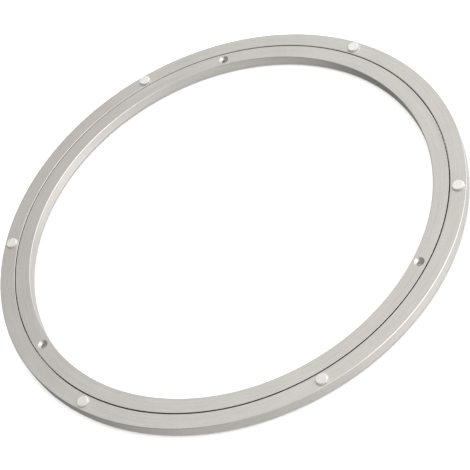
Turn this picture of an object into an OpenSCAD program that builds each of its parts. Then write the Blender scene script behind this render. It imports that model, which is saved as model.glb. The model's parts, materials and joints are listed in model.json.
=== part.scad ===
// Lazy susan ring: a turntable bearing made of two flat aluminium rings, one inside the other,
// with a full row of steel balls in a round groove between them.
// The inner ring stands on a table. The outer ring turns round it and carries a tray or a table top.
// Origin: centre of the turning axis, at the underside of the feet. +Z is up, and +X passes through
// the first screw hole of the inner ring.

/* [Rings] */
// Outside diameter of the outer ring
outer_d = 400; // [250:10:600]
// Radial width of the outer ring
outer_w = 13.15; // [12:0.05:20]
// Radial width of the inner ring
inner_w = 12.85; // [12:0.05:20]
// Thickness of both rings
ring_t = 9.2; // [8.4:0.1:12]
// Width of the slot between the two rings
slot_w = 0.9; // [0.6:0.1:1.6]
// Size of the bevel on the edges of the outside and of the centre opening
edge = 0.35; // [0.2:0.05:0.8]
// Size of the bevel on the outer ring's edges at the slot
outer_slot_edge = 0.3; // [0.05:0.05:0.4]
// Size of the bevel on the inner ring's edges at the slot
inner_slot_edge = 0.1; // [0.05:0.05:0.4]

/* [Ball race] */
// Diameter of a ball
ball_d = 4.0; // [3.5:0.1:4.4]
// Gap between a ball and the groove that it runs in
ball_play = 0.05; // [0.02:0.01:0.1]
// Smallest gap between one ball and the next
ball_gap = 0.04; // [0.02:0.01:0.2]
// Number of arcs that the row of balls is divided into
ball_arcs = 12; // [4:1:24]

/* [Bumpers and feet] */
// Number of bumpers on the outer ring
bumper_count = 6; // [3:1:8]
// Angle from the first screw hole to the first bumper, with the outer ring at rest
rest_turn = 22.7; // [0:0.1:60]
// Number of feet between one screw hole and the next
feet_per_gap = 2; // [1:1:3]
// Diameter of a button's head
head_d = 10; // [8:0.5:11]
// Height of a button's head above the face that it sits on
head_h = 1.7; // [1.4:0.1:4]
// Radius of the rounded edge of a button's head
head_round = 1.1; // [0.4:0.1:1.2]
// Diameter of a button's stem
stem_d = 4.6; // [3:0.1:5]
// Length of a button's stem
stem_l = 3; // [2:0.1:4]

/* [Screw holes] */
// Number of screw holes in the inner ring
screw_count = 3; // [3:1:4]
// Diameter of a screw hole
screw_d = 4.3; // [3:0.1:5]
// Diameter of a screw hole's countersink at the top face
sink_d = 8.4; // [7:0.1:10]

/* [Ball-loading screw] */
// Diameter of the hole that the balls go in through
load_d = 5; // [4.8:0.1:6]
// Which space between two bumpers the loading hole lies in the middle of
load_space = 3; // [1:1:3]
// Width of the loading screw's hexagon socket, across its flats
socket_w = 2.5; // [2:0.5:3]
// Depth of the loading screw's hexagon socket
socket_l = 2.8; // [2:0.1:4]

/* [Hidden] */
$fn = 96;

// Radii of the rings' walls, and of the circle that the centres of the balls lie on
outer_r = outer_d / 2;
slot_out_r = outer_r - outer_w;
slot_in_r = slot_out_r - slot_w;
inner_r = slot_in_r - inner_w;
pitch_r = slot_out_r - slot_w / 2;
race_r = ball_d / 2 + ball_play;

// Heights of the rings' faces and of the centres of the balls
ring_z = head_h;
ring_top_z = ring_z + ring_t;
race_z = ring_z + ring_t / 2;

// Balls in one arc, and the angle from one ball to the next
balls_per_arc = floor(360 / ball_arcs / (2 * asin((ball_d + ball_gap) / 2 / pitch_r)));
ball_step = 360 / (ball_arcs * balls_per_arc);

// Circles that the bumpers, the feet and the screw holes lie on, and the angles between them
bumper_circle_r = slot_out_r + outer_w / 2;
bumper_step = 360 / bumper_count;
foot_circle_r = slot_in_r - inner_w / 2;
foot_count = screw_count * feet_per_gap;
foot_step = 360 / foot_count;
hole_circle_r = foot_circle_r;
hole_step = 360 / screw_count;

// Fit of a stem in its blind hole, and the bevel on its tip
stem_play = 0.02;
stem_spare = 0.2;
stem_tip = 0.4;

// The loading screw's thread is left as a plain cylinder just inside the hole. The screw ends
// behind the groove, and its outer end lies below the rim.
load_play = 0.04;
load_back = 0.15;
load_sink = 0.3;
load_bevel = 0.4;
load_in_r = pitch_r + race_r + load_back;
load_out_r = outer_r - load_sink;
load_angle = rest_turn + (load_space - 0.5) * bumper_step;
socket_r = socket_w / 2 / cos(30);

// How far a cutting shape runs past the solid that it cuts
over = 0.5;

// Puts its children at radius r, angle a and height z, turned to face outwards
module at(r, a, z) {
    rotate([0, 0, a]) translate([r, 0, z]) children();
}

// Flat ring from radius r1 to radius r2, standing on ring_z, with its edges bevelled by b1 and b2
module bevelled_ring(r1, b1, r2, b2) {
    translate([0, 0, ring_z])
        rotate_extrude()
            polygon([
                [r1 + b1, 0],
                [r2 - b2, 0],
                [r2, b2],
                [r2, ring_t - b2],
                [r2 - b2, ring_t],
                [r1 + b1, ring_t],
                [r1, ring_t - b1],
                [r1, b1]
            ]);
}

// The round groove that the balls run in, as a solid to cut with
module race() {
    translate([0, 0, race_z])
        rotate_extrude()
            translate([pitch_r, 0]) circle(r = race_r);
}

// Soft button: a head with a rounded edge above z = 0, and a stem below it
module button() {
    stem_r = stem_d / 2;
    head_r = head_d / 2;
    color([0.90, 0.91, 0.91, 0.75])
        rotate_extrude()
            union() {
                polygon([
                    [0, -stem_l],
                    [stem_r - stem_tip, -stem_l],
                    [stem_r, stem_tip - stem_l],
                    [stem_r, 0],
                    [0, 0]
                ]);
                square([head_r, head_h - head_round]);
                square([head_r - head_round, head_h]);
                intersection() {
                    square([head_r, head_h]);
                    translate([head_r - head_round, head_h - head_round]) circle(r = head_round);
                }
            }
}

// Blind hole for a button's stem, down from z = 0
module stem_hole() {
    depth = stem_l + stem_spare;
    translate([0, 0, -depth]) cylinder(d = stem_d + 2 * stem_play, h = depth + over);
}

// Through hole with a countersink, down from z = 0 at the top face
module screw_hole() {
    sink_h = (sink_d - screw_d) / 2;
    translate([0, 0, -ring_t - over]) cylinder(d = screw_d, h = ring_t + 2 * over);
    translate([0, 0, -sink_h]) cylinder(d1 = screw_d, d2 = sink_d + 2 * over, h = sink_h + over);
}

module outer_ring() {
    color([0.80, 0.80, 0.79])
        difference() {
            bevelled_ring(slot_out_r, outer_slot_edge, outer_r, edge);
            race();
            for (i = [1:bumper_count])
                at(bumper_circle_r, rest_turn + (i - 1) * bumper_step, ring_top_z) stem_hole();
            at(pitch_r, load_angle, race_z)
                rotate([0, 90, 0]) cylinder(d = load_d, h = outer_r - pitch_r + over);
        }
}

module inner_ring() {
    color([0.80, 0.80, 0.79])
        difference() {
            bevelled_ring(inner_r, edge, slot_in_r, inner_slot_edge);
            race();
            for (i = [1:screw_count])
                at(hole_circle_r, (i - 1) * hole_step, ring_top_z) screw_hole();
            for (i = [1:foot_count])
                at(foot_circle_r, (i - 0.5) * foot_step, ring_z) mirror([0, 0, 1]) stem_hole();
        }
}

// Headless screw that closes the loading hole behind the balls
module loading_screw() {
    screw_r = load_d / 2 - load_play;
    screw_l = load_out_r - load_in_r;
    color([0.25, 0.25, 0.27])
        at(load_in_r, load_angle, race_z)
            rotate([0, 90, 0])
                difference() {
                    rotate_extrude()
                        polygon([
                            [0, 0],
                            [screw_r - load_bevel, 0],
                            [screw_r, load_bevel],
                            [screw_r, screw_l - load_bevel],
                            [screw_r - load_bevel, screw_l],
                            [0, screw_l]
                        ]);
                    translate([0, 0, screw_l - socket_l])
                        cylinder(r = socket_r, h = socket_l + over, $fn = 6);
                }
}

// Bumper i, a button on the outer ring's top face
module bumper(i) {
    at(bumper_circle_r, rest_turn + (i - 1) * bumper_step, ring_top_z) button();
}

// Foot i, the same button under the inner ring
module foot(i) {
    at(foot_circle_r, (i - 0.5) * foot_step, ring_z) mirror([0, 0, 1]) button();
}

// Arc i of the row of balls
module ball_row(i) {
    first = (i - 1) * balls_per_arc;
    color([0.62, 0.63, 0.65])
        for (k = [0:balls_per_arc - 1])
            at(pitch_r, (first + k + 0.5) * ball_step, race_z) sphere(d = ball_d);
}

outer_ring();
inner_ring();
loading_screw();
for (i = [1:bumper_count]) bumper(i);
for (i = [1:foot_count]) foot(i);
for (i = [1:ball_arcs]) ball_row(i);
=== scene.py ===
"""Looks of the lazy susan ring: satin aluminium rings, milky silicone buttons, greased steel balls.

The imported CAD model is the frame. The two rings are lathed again here with a finer mesh and with
softened edges; the buttons, the balls and the loading screw are the CAD solids with better materials.
Lengths are in metres, and angles are in degrees until they are used.
"""
import json
import math

import bmesh
import bpy
from mathutils import Matrix, Vector


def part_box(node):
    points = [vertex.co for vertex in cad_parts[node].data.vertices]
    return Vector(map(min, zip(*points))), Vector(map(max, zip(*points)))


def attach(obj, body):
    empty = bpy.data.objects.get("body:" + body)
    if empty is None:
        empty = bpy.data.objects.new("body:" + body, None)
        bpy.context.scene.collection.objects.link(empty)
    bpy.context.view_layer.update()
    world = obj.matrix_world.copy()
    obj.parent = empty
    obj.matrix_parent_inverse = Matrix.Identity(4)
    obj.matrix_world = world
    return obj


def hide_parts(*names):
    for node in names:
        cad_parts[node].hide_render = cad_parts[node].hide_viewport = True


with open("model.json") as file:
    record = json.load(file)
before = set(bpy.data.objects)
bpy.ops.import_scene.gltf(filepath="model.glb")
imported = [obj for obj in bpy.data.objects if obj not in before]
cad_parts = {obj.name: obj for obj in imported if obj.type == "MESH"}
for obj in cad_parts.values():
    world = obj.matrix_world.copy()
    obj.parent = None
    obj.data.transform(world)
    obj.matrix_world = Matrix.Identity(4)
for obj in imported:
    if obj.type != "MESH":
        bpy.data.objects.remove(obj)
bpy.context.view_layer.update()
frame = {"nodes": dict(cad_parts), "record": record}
NODES = frame["nodes"]
BODIES = frame["record"]["behaviour"]["bodies"]
MM = 0.001

# ---------------------------------------------------------------- sizes, from the frame

OUTER_LOW, OUTER_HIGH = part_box("outer_ring")
INNER_LOW, INNER_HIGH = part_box("inner_ring")
RING_LOW = OUTER_LOW[2]
RING_HIGH = OUTER_HIGH[2]
RING_T = RING_HIGH - RING_LOW
RACE_Z = (RING_LOW + RING_HIGH) / 2

OUTER_R = OUTER_HIGH[0]
SLOT_IN_R = INNER_HIGH[0]
SLOT_W = 0.9 * MM
SLOT_OUT_R = SLOT_IN_R + SLOT_W
INNER_W = 12.85 * MM
INNER_R = SLOT_IN_R - INNER_W
PITCH_R = SLOT_IN_R + SLOT_W / 2
RACE_R = 2.05 * MM
EDGE = 0.35 * MM
OUTER_SLOT_EDGE = 0.3 * MM
INNER_SLOT_EDGE = 0.1 * MM
SOFTNESS = 0.3

SCREW_R = 2.15 * MM
SINK_R = 4.2 * MM
STEM_HOLE_R = 2.32 * MM
STEM_HOLE_DEPTH = 3.2 * MM
LOAD_R = 2.5 * MM
OVER = 0.5 * MM

# How finely the lathed shapes are divided, and how strongly flat faces steer the shading
RING_STEPS = 720
GROOVE_STEPS = 14
CORNER_STEPS = 3
HOLE_STEPS = 64
SHARP_ANGLE = 35.0
FLAT_FACE_WEIGHT = 80

# ---------------------------------------------------------------- camera, floor and light

# The camera was solved outside this script, from the edges of the rings
TARGET = (0.0186, -0.0151, RING_HIGH)
VIEW_AZIMUTH = -38.44
VIEW_ELEVATION = 46.93
VIEW_DISTANCE = 1.3642
VIEW_ROLL = 29.08
LENS_MM = 130.2
SENSOR_MM = 36.0

FLOOR_SIZE = 30.0
FLOOR_COLOUR = (0.93, 0.93, 0.93)
WORLD_COLOUR = (1.0, 1.0, 1.0)

# Broad glows of the world: (azimuth, elevation, strength). They are the result of a fitting program
# outside this script, and not of a plain studio, so they are to be replaced by a few glows set by hand.
GLOW_SHARPNESS = 6.0
GLOWS = [
    (30.0, 0.0, 1.25),
    (30.0, -45.0, 0.62),
    (75.0, 0.0, 0.68),
    (75.0, 40.0, 1.05),
    (120.0, 40.0, 0.52),
    (120.0, -45.0, 0.76),
    (165.0, 40.0, 0.24),
    (210.0, 40.0, 0.49),
    (255.0, -45.0, 0.51),
    (300.0, 0.0, 0.95),
    (345.0, 40.0, 1.20),
    (345.0, -45.0, 0.54),
]

# Softboxes: name, azimuth, elevation, distance, size, power in watts
KEY_LIGHT = ("key_softbox", 15.0, 36.0, 1.8, 1.6, 8.5)
TOP_LIGHT = ("top_softbox", 140.0, 78.0, 1.8, 0.8, 1.3)
# Two softboxes that light one thing each: the buttons, and the paper, which stays white
BUTTON_LIGHT = ("button_softbox", 85.0, 50.0, 1.8, 0.8, 27.0)
PAPER_LIGHT = ("paper_softbox", 0.0, 89.0, 2.5, 3.0, 85.0)


def direction(azimuth, elevation):
    """Unit vector towards a bearing round Z and an angle above the floor."""
    a = math.radians(azimuth)
    e = math.radians(elevation)
    return Vector((math.cos(e) * math.cos(a), math.cos(e) * math.sin(a), math.sin(e)))


def aim(obj, place, target, roll=0.0):
    """Puts a camera or light at a place, looking at a target, rolled about its own axis."""
    back = (Vector(place) - Vector(target)).normalized()
    right = Vector((0.0, 0.0, 1.0)).cross(back).normalized()
    up = back.cross(right)
    turn = Matrix.Rotation(math.radians(-roll), 4, "Z")
    axes = Matrix((right, up, back)).transposed().to_4x4()
    obj.matrix_world = Matrix.Translation(place) @ axes @ turn


def make_camera():
    data = bpy.data.cameras.new("camera")
    data.lens = LENS_MM
    data.sensor_width = SENSOR_MM
    data.clip_start = 0.01
    data.clip_end = 100.0
    camera = bpy.data.objects.new("camera", data)
    bpy.context.scene.collection.objects.link(camera)
    place = Vector(TARGET) + direction(VIEW_AZIMUTH, VIEW_ELEVATION) * VIEW_DISTANCE
    aim(camera, place, TARGET, VIEW_ROLL)
    bpy.context.scene.camera = camera


def make_light(name, azimuth, elevation, distance, size, power):
    data = bpy.data.lights.new(name, "AREA")
    data.shape = "SQUARE"
    data.size = size
    data.energy = power
    light = bpy.data.objects.new(name, data)
    bpy.context.scene.collection.objects.link(light)
    aim(light, direction(azimuth, elevation) * distance, (0.0, 0.0, 0.0))
    return light


def light_only(light, objects):
    """Lets a light fall on the given objects and on nothing else."""
    lit = bpy.data.collections.new(light.name + "_lit")
    for obj in objects:
        lit.objects.link(obj)
    light.light_linking.receiver_collection = lit


def make_world():
    """Broad glows, each brightest in its own direction, on a dark sky."""
    world = bpy.data.worlds.new("studio")
    world.use_nodes = True
    tree = world.node_tree
    background = tree.nodes["Background"]
    look = add(tree, "ShaderNodeTexCoord").outputs["Generated"]
    strength = 0.0
    for azimuth, elevation, glow in GLOWS:
        near = add(tree, "ShaderNodeVectorMath", operation="DOT_PRODUCT")
        feed(tree, look, near.inputs[0])
        near.inputs[1].default_value = direction(azimuth, elevation)
        lobe = maths(tree, "POWER", maths(tree, "MAXIMUM", near.outputs["Value"], 0.0), GLOW_SHARPNESS)
        strength = maths(tree, "MULTIPLY_ADD", lobe, glow, strength)
    background.inputs["Color"].default_value = (*WORLD_COLOUR, 1.0)
    feed(tree, strength, background.inputs["Strength"])
    bpy.context.scene.world = world


def make_floor():
    """White paper. The metal doesn't mirror it, and it lets the world's light through from below."""
    half = FLOOR_SIZE / 2
    corners = [(-half, -half, 0), (half, -half, 0), (half, half, 0), (-half, half, 0)]
    mesh = bpy.data.meshes.new("floor")
    mesh.from_pydata(corners, [], [(0, 1, 2, 3)])
    floor = bpy.data.objects.new("floor", mesh)
    bpy.context.scene.collection.objects.link(floor)
    material, tree, shader = new_material("floor_white")
    shader.inputs["Base Color"].default_value = (*FLOOR_COLOUR, 1.0)
    shader.inputs["Roughness"].default_value = 0.9
    mesh.materials.append(material)
    floor.visible_glossy = False
    floor.visible_shadow = False
    return floor


# ---------------------------------------------------------------- shader nodes


def new_material(name):
    material = bpy.data.materials.new(name)
    material.use_nodes = True
    tree = material.node_tree
    return material, tree, tree.nodes["Principled BSDF"]


def add(tree, kind, **settings):
    node = tree.nodes.new(kind)
    for key, value in settings.items():
        setattr(node, key, value)
    return node


def feed(tree, value, socket):
    """Links an output into a socket, or sets the socket's own value."""
    if isinstance(value, bpy.types.NodeSocket):
        tree.links.new(value, socket)
    else:
        socket.default_value = value


def maths(tree, operation, *values):
    node = add(tree, "ShaderNodeMath", operation=operation)
    for value, socket in zip(values, node.inputs):
        feed(tree, value, socket)
    return node.outputs[0]


def vector_maths(tree, operation, *values):
    node = add(tree, "ShaderNodeVectorMath", operation=operation)
    for value, socket in zip(values, node.inputs):
        feed(tree, value, socket)
    return node.outputs["Value" if operation == "LENGTH" else "Vector"]


def noise(tree, vector, scale, detail=2.0, roughness=0.5):
    node = add(tree, "ShaderNodeTexNoise")
    feed(tree, vector, node.inputs["Vector"])
    node.inputs["Scale"].default_value = scale
    node.inputs["Detail"].default_value = detail
    node.inputs["Roughness"].default_value = roughness
    return node.outputs["Fac"]


def remap(tree, value, low, high, to_low, to_high):
    node = add(tree, "ShaderNodeMapRange")
    feed(tree, value, node.inputs["Value"])
    for name, limit in zip(("From Min", "From Max", "To Min", "To Max"), (low, high, to_low, to_high)):
        node.inputs[name].default_value = limit
    return node.outputs["Result"]


def blend_colour(tree, factor, first, second):
    """Mixes two colours, each a triple or an output."""
    node = add(tree, "ShaderNodeMix", data_type="RGBA")
    feed(tree, factor, node.inputs["Factor"])
    for colour, name in ((first, "A"), (second, "B")):
        feed(tree, (*colour, 1.0) if isinstance(colour, tuple) else colour, node.inputs[name])
    return node.outputs["Result"]


def bump(tree, height, depth, strength=1.0, normal=None):
    node = add(tree, "ShaderNodeBump")
    node.inputs["Strength"].default_value = strength
    node.inputs["Distance"].default_value = depth
    feed(tree, height, node.inputs["Height"])
    if normal is not None:
        feed(tree, normal, node.inputs["Normal"])
    return node.outputs["Normal"]


# ---------------------------------------------------------------- materials

DULL_METAL = (0.735, 0.705, 0.666)
BRIGHT_METAL = (0.892, 0.856, 0.809)
# Painted shade: the dark colour painted into the groove and the lower part of the slot
PAINTED_SLOT_SHADE = (0.10, 0.097, 0.094)
DULL_CUT = (0.70, 0.68, 0.65)
BRIGHT_CUT = (0.77, 0.748, 0.715)
DIM_SILICONE = (0.53, 0.52, 0.50)
PALE_SILICONE = (0.64, 0.628, 0.608)
FILMED_STEEL = (0.84, 0.84, 0.85)
BARE_STEEL = (0.93, 0.93, 0.94)
BLACK_OXIDE = (0.025, 0.025, 0.028)
RUBBED_OXIDE = (0.11, 0.11, 0.115)


def satin_aluminium():
    """Drawn bar bent into a ring, then blasted: fine grain over faint lines along the bar."""
    material, tree, shader = new_material("satin_aluminium")
    place = add(tree, "ShaderNodeTexCoord").outputs["Object"]
    flat = vector_maths(tree, "MULTIPLY", place, (1.0, 1.0, 0.0))
    radius = vector_maths(tree, "LENGTH", flat)
    bearing = vector_maths(tree, "NORMALIZE", flat)
    split = add(tree, "ShaderNodeSeparateXYZ")
    feed(tree, place, split.inputs["Vector"])
    across = maths(tree, "MULTIPLY_ADD", split.outputs["Z"], 0.7, radius)

    def lines(width, length):
        """Noise drawn out along the bar: width and length of one line in metres."""
        lifted = add(tree, "ShaderNodeCombineXYZ")
        feed(tree, maths(tree, "DIVIDE", across, width), lifted.inputs["Z"])
        turned = vector_maths(tree, "SCALE", bearing)
        turned.node.inputs["Scale"].default_value = OUTER_R / length
        return noise(tree, vector_maths(tree, "ADD", turned, lifted.outputs["Vector"]), 1.0)

    fine_lines = lines(0.3 * MM, 9 * MM)
    broad_lines = lines(1.4 * MM, 90 * MM)
    grain = noise(tree, place, 1300.0, 3.0, 0.6)
    cloud = noise(tree, place, 28.0, 2.0)

    geometry = add(tree, "ShaderNodeNewGeometry")
    facing = add(tree, "ShaderNodeSeparateXYZ")
    feed(tree, geometry.outputs["True Normal"], facing.inputs["Vector"])
    steep = maths(tree, "ABSOLUTE", facing.outputs["Z"])
    off_wall = maths(tree, "GREATER_THAN", steep, 0.2)
    off_face = maths(tree, "LESS_THAN", steep, 0.98)
    on_edge = maths(tree, "MULTIPLY", off_wall, off_face)

    grain_part = maths(tree, "MULTIPLY", grain, 0.40)
    broad_part = maths(tree, "MULTIPLY", broad_lines, 0.25)
    tone = maths(tree, "ADD", grain_part, broad_part)
    tone = maths(tree, "MULTIPLY_ADD", fine_lines, 0.20, tone)
    tone = maths(tree, "MULTIPLY_ADD", cloud, 0.15, tone)
    tone = remap(tree, tone, 0.38, 0.62, 0.0, 1.0)
    metal = blend_colour(tree, tone, DULL_METAL, BRIGHT_METAL)

    # Painted shade: the groove and the lower part of the slot are painted dark, for the shade down in
    # the slot
    off_race = maths(tree, "ABSOLUTE", maths(tree, "SUBTRACT", radius, PITCH_R))
    off_middle = maths(tree, "ABSOLUTE", maths(tree, "SUBTRACT", split.outputs["Z"], RACE_Z))
    in_race = remap(tree, off_race, RACE_R + 0.05 * MM, RACE_R + 0.1 * MM, 1.0, 0.0)
    below_face = remap(tree, off_middle, RING_T / 2 - 1.1 * MM, RING_T / 2 - 0.6 * MM, 1.0, 0.0)
    slot_shade_mask = maths(tree, "MULTIPLY", in_race, below_face)
    feed(tree, blend_colour(tree, slot_shade_mask, metal, PAINTED_SLOT_SHADE), shader.inputs["Base Color"])

    rough = maths(tree, "MULTIPLY_ADD", fine_lines, 0.08, 0.40)
    rough = maths(tree, "MULTIPLY_ADD", cloud, 0.04, rough)
    rough = maths(tree, "MULTIPLY_ADD", on_edge, -0.10, rough)
    feed(tree, rough, shader.inputs["Roughness"])
    shader.inputs["Metallic"].default_value = 1.0
    shader.inputs["Anisotropic"].default_value = 0.25
    tangent = add(tree, "ShaderNodeTangent", direction_type="RADIAL", axis="Z")
    feed(tree, tangent.outputs["Tangent"], shader.inputs["Tangent"])

    blasted = bump(tree, grain, 0.015 * MM, 0.7)
    drawn = bump(tree, fine_lines, 0.008 * MM, 0.6, blasted)
    feed(tree, drawn, shader.inputs["Normal"])
    return material


def machined_aluminium():
    """The turned finish that a countersinking bit leaves: bright, with faint rings down the hole."""
    material, tree, shader = new_material("machined_aluminium")
    place = add(tree, "ShaderNodeTexCoord").outputs["Object"]
    squashed = vector_maths(tree, "MULTIPLY", place, (60.0, 60.0, 6000.0))
    rings = noise(tree, squashed, 1.0, 2.0)
    smear = noise(tree, place, 900.0, 2.0)
    feed(tree, blend_colour(tree, smear, DULL_CUT, BRIGHT_CUT), shader.inputs["Base Color"])
    feed(tree, remap(tree, rings, 0.3, 0.7, 0.38, 0.48), shader.inputs["Roughness"])
    shader.inputs["Metallic"].default_value = 1.0
    feed(tree, bump(tree, rings, 0.006 * MM, 0.5), shader.inputs["Normal"])
    return material


def clear_silicone():
    """Milky silicone: light passes into it, and its skin has the faint texture of its mould."""
    material, tree, shader = new_material("clear_silicone")
    place = add(tree, "ShaderNodeTexCoord").outputs["Object"]
    cloud = noise(tree, place, 350.0, 2.0)
    skin = noise(tree, place, 4200.0, 2.0)
    feed(tree, blend_colour(tree, cloud, DIM_SILICONE, PALE_SILICONE), shader.inputs["Base Color"])
    feed(tree, remap(tree, skin, 0.3, 0.7, 0.30, 0.42), shader.inputs["Roughness"])
    shader.inputs["Subsurface Weight"].default_value = 0.25
    shader.inputs["Subsurface Radius"].default_value = (1.0, 1.0, 1.0)
    shader.inputs["Subsurface Scale"].default_value = 0.5 * MM
    shader.inputs["Transmission Weight"].default_value = 0.05
    shader.inputs["IOR"].default_value = 1.41
    feed(tree, bump(tree, skin, 0.01 * MM, 0.3), shader.inputs["Normal"])
    return material


def ball_steel():
    """Hardened balls under a thin film of grease."""
    material, tree, shader = new_material("ball_steel")
    place = add(tree, "ShaderNodeTexCoord").outputs["Object"]
    film = noise(tree, place, 900.0, 3.0)
    feed(tree, blend_colour(tree, film, FILMED_STEEL, BARE_STEEL), shader.inputs["Base Color"])
    feed(tree, remap(tree, film, 0.3, 0.7, 0.18, 0.30), shader.inputs["Roughness"])
    shader.inputs["Metallic"].default_value = 1.0
    return material


def black_steel():
    """Black oxide on steel, rubbed thin here and there."""
    material, tree, shader = new_material("black_steel")
    place = add(tree, "ShaderNodeTexCoord").outputs["Object"]
    rubbed = remap(tree, noise(tree, place, 1400.0, 4.0, 0.6), 0.55, 0.75, 0.0, 1.0)
    feed(tree, blend_colour(tree, rubbed, BLACK_OXIDE, RUBBED_OXIDE), shader.inputs["Base Color"])
    feed(tree, remap(tree, rubbed, 0.0, 1.0, 0.48, 0.30), shader.inputs["Roughness"])
    shader.inputs["Metallic"].default_value = 0.8
    feed(tree, bump(tree, rubbed, 0.01 * MM, 0.4), shader.inputs["Normal"])
    return material


# ---------------------------------------------------------------- lathed rings


def arc(centre, radius, start, end, steps):
    """Points on an arc, from the start angle to the end angle."""
    angles = [math.radians(start + (end - start) * k / steps) for k in range(steps + 1)]
    return [(centre[0] + radius * math.cos(a), centre[1] + radius * math.sin(a)) for a in angles]


def soften(outline, corner_count, steps):
    """Rounds the first corner_count corners of a closed outline, more where both sides are long."""
    result = []
    for k, point in enumerate(outline):
        if k >= corner_count:
            result.append(point)
            continue
        here = Vector(point)
        before = Vector(outline[k - 1]) - here
        after = Vector(outline[(k + 1) % len(outline)]) - here
        reach = SOFTNESS * min(before.length, after.length, EDGE)
        start = here + before.normalized() * reach
        end = here + after.normalized() * reach
        for j in range(steps + 1):
            t = j / steps
            bent = start * (1 - t) ** 2 + here * 2 * t * (1 - t) + end * t ** 2
            result.append(tuple(bent))
    return result


def ring_outline(wall_r, slot_r, slot_edge):
    """Section of a ring, from its wall on the open side to its wall at the slot."""
    low, high = RING_LOW, RING_HIGH
    outward = 1 if wall_r > slot_r else -1
    wall_step = outward * EDGE
    slot_step = outward * slot_edge
    corners = [
        (slot_r, low + slot_edge),
        (slot_r + slot_step, low),
        (wall_r - wall_step, low),
        (wall_r, low + EDGE),
        (wall_r, high - EDGE),
        (wall_r - wall_step, high),
        (slot_r + slot_step, high),
        (slot_r, high - slot_edge),
    ]
    mouth = math.degrees(math.acos(SLOT_W / 2 / RACE_R))
    if outward > 0:
        groove = arc((PITCH_R, RACE_Z), RACE_R, mouth, -mouth, GROOVE_STEPS)
    else:
        groove = arc((PITCH_R, RACE_Z), RACE_R, 180 - mouth, 180 + mouth, GROOVE_STEPS)
    return soften(corners + groove, len(corners), CORNER_STEPS)


def lathe(name, outline, steps, closed=True):
    """Turns an outline of (radius, height) about Z. An open outline starts and ends on the axis."""
    shape = bmesh.new()
    angles = [2 * math.pi * k / steps for k in range(steps)]
    loops = []
    for point_r, point_z in outline:
        if not closed and point_r == 0:
            loops.append([shape.verts.new((0, 0, point_z))] * steps)
            continue
        circle = [(point_r * math.cos(a), point_r * math.sin(a), point_z) for a in angles]
        loops.append([shape.verts.new(place) for place in circle])
    next_loops = loops[1:] + loops[:1] if closed else loops[1:]
    for lower, upper in zip(loops, next_loops):
        for k in range(steps):
            j = (k + 1) % steps
            corners = list(dict.fromkeys((lower[k], lower[j], upper[j], upper[k])))
            shape.faces.new(corners)
    bmesh.ops.recalc_face_normals(shape, faces=shape.faces)
    mesh = bpy.data.meshes.new(name)
    shape.to_mesh(mesh)
    shape.free()
    return mesh


def merged(name, parts):
    """One mesh of several meshes, each placed by its own matrix."""
    shape = bmesh.new()
    for mesh, matrix in parts:
        copy = mesh.copy()
        copy.transform(matrix)
        shape.from_mesh(copy)
        bpy.data.meshes.remove(copy)
    mesh = bpy.data.meshes.new(name)
    shape.to_mesh(mesh)
    shape.free()
    return mesh


def cut(obj, cutter_mesh):
    """Cuts a mesh out of an object and keeps the result as the object's own mesh."""
    cutter = bpy.data.objects.new("cutter", cutter_mesh)
    bpy.context.scene.collection.objects.link(cutter)
    modifier = obj.modifiers.new("cut", "BOOLEAN")
    modifier.operation = "DIFFERENCE"
    modifier.solver = "EXACT"
    modifier.object = cutter
    bpy.context.view_layer.update()
    evaluated = obj.evaluated_get(bpy.context.evaluated_depsgraph_get())
    mesh = bpy.data.meshes.new_from_object(evaluated)
    obj.modifiers.clear()
    old = obj.data
    obj.data = mesh
    bpy.data.meshes.remove(old)
    bpy.data.objects.remove(cutter)
    bpy.data.meshes.remove(cutter_mesh)


def smooth(obj):
    """Smooth shading that keeps flat faces flat and cut edges sharp."""
    mesh = obj.data
    mesh.polygons.foreach_set("use_smooth", [True] * len(mesh.polygons))
    mesh.set_sharp_from_angle(angle=math.radians(SHARP_ANGLE))
    weighted = obj.modifiers.new("flat_faces", "WEIGHTED_NORMAL")
    weighted.keep_sharp = True
    weighted.weight = FLAT_FACE_WEIGHT


def placed(radius, bearing, height, turn=None):
    matrix = Matrix.Rotation(bearing, 4, "Z") @ Matrix.Translation((radius, 0, height))
    return matrix @ turn if turn else matrix


def middle(node):
    """Radius and bearing of a node's centre."""
    low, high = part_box(node)
    x, y = (low[0] + high[0]) / 2, (low[1] + high[1]) / 2
    return math.hypot(x, y), math.atan2(y, x)


def stem_hole():
    outline = [(0, -STEM_HOLE_DEPTH), (STEM_HOLE_R, -STEM_HOLE_DEPTH), (STEM_HOLE_R, OVER), (0, OVER)]
    return lathe("stem_hole", outline, HOLE_STEPS, closed=False)


def screw_hole():
    """The tool that drills and countersinks a screw hole. Its faces take the second material."""
    sink_depth = SINK_R - SCREW_R
    outline = [
        (0, -RING_T - OVER),
        (SCREW_R, -RING_T - OVER),
        (SCREW_R, -sink_depth),
        (SINK_R + OVER, OVER),
        (0, OVER),
    ]
    mesh = lathe("screw_hole", outline, HOLE_STEPS, closed=False)
    mesh.polygons.foreach_set("material_index", [1] * len(mesh.polygons))
    return mesh


def load_hole():
    length = OUTER_R - PITCH_R + OVER
    outline = [(0, 0), (LOAD_R, 0), (LOAD_R, length), (0, length)]
    return lathe("load_hole", outline, HOLE_STEPS, closed=False)


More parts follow.
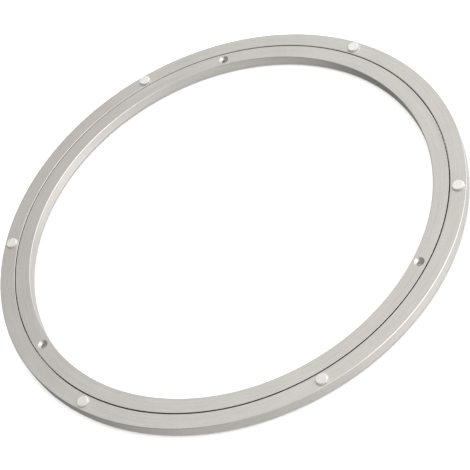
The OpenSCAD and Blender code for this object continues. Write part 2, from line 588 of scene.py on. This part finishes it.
def make_ring(name, node, body, outline, cuts, materials):
    mesh = lathe(name, outline, RING_STEPS)
    tools = merged("cuts", cuts)
    for material in materials:
        mesh.materials.append(material)
        tools.materials.append(material)
    ring = bpy.data.objects.new(name, mesh)
    bpy.context.scene.collection.objects.link(ring)
    cut(ring, tools)
    ring.data.name = name
    smooth(ring)
    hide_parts(node)
    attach(ring, body)
    return ring


def make_outer_ring(materials):
    outline = ring_outline(OUTER_R, SLOT_OUT_R, OUTER_SLOT_EDGE)
    hole = stem_hole()
    cuts = []
    for node in BODIES["turntable"]:
        if node.startswith("bumper"):
            radius, bearing = middle(node)
            cuts.append((hole, placed(radius, bearing, RING_HIGH)))
    outwards = Matrix.Rotation(math.pi / 2, 4, "Y")
    cuts.append((load_hole(), placed(PITCH_R, middle("loading_screw")[1], RACE_Z, outwards)))
    return make_ring("outer_ring_fine", "outer_ring", "turntable", outline, cuts, materials)


def make_inner_ring(materials):
    outline = ring_outline(INNER_R, SLOT_IN_R, INNER_SLOT_EDGE)
    hole = stem_hole()
    upside_down = Matrix.Rotation(math.pi, 4, "X")
    cuts = []
    for node in BODIES["base"]:
        if node.startswith("foot"):
            radius, bearing = middle(node)
            cuts.append((hole, placed(radius, bearing, RING_LOW, upside_down)))
    screws = frame["record"]["mounts"][0]["dims"]
    for k in range(screws["count"]):
        bearing = 2 * math.pi * k / screws["count"]
        cuts.append((screw_hole(), placed(screws["pcd_mm"] * MM / 2, bearing, RING_HIGH)))
    return make_ring("inner_ring_fine", "inner_ring", "base", outline, cuts, materials)


def dress(prefix, material):
    """Gives a material to every CAD node whose name starts with the prefix."""
    for name, obj in NODES.items():
        if name.startswith(prefix):
            for slot in obj.material_slots:
                slot.material = material


# ---------------------------------------------------------------- the scene

make_camera()
make_world()
floor = make_floor()
bpy.context.scene.view_settings.view_transform = "Standard"

metals = [satin_aluminium(), machined_aluminium()]
rings = [make_outer_ring(metals), make_inner_ring(metals)]
silicone = clear_silicone()
dress("bumper", silicone)
dress("foot", silicone)
dress("ball_row", ball_steel())
dress("loading_screw", black_steel())

buttons = [obj for name, obj in NODES.items() if name.startswith(("bumper", "foot"))]
for softbox in (KEY_LIGHT, TOP_LIGHT):
    light_only(make_light(*softbox), rings + list(NODES.values()))
light_only(make_light(*BUTTON_LIGHT), buttons)
light_only(make_light(*PAPER_LIGHT), [floor])
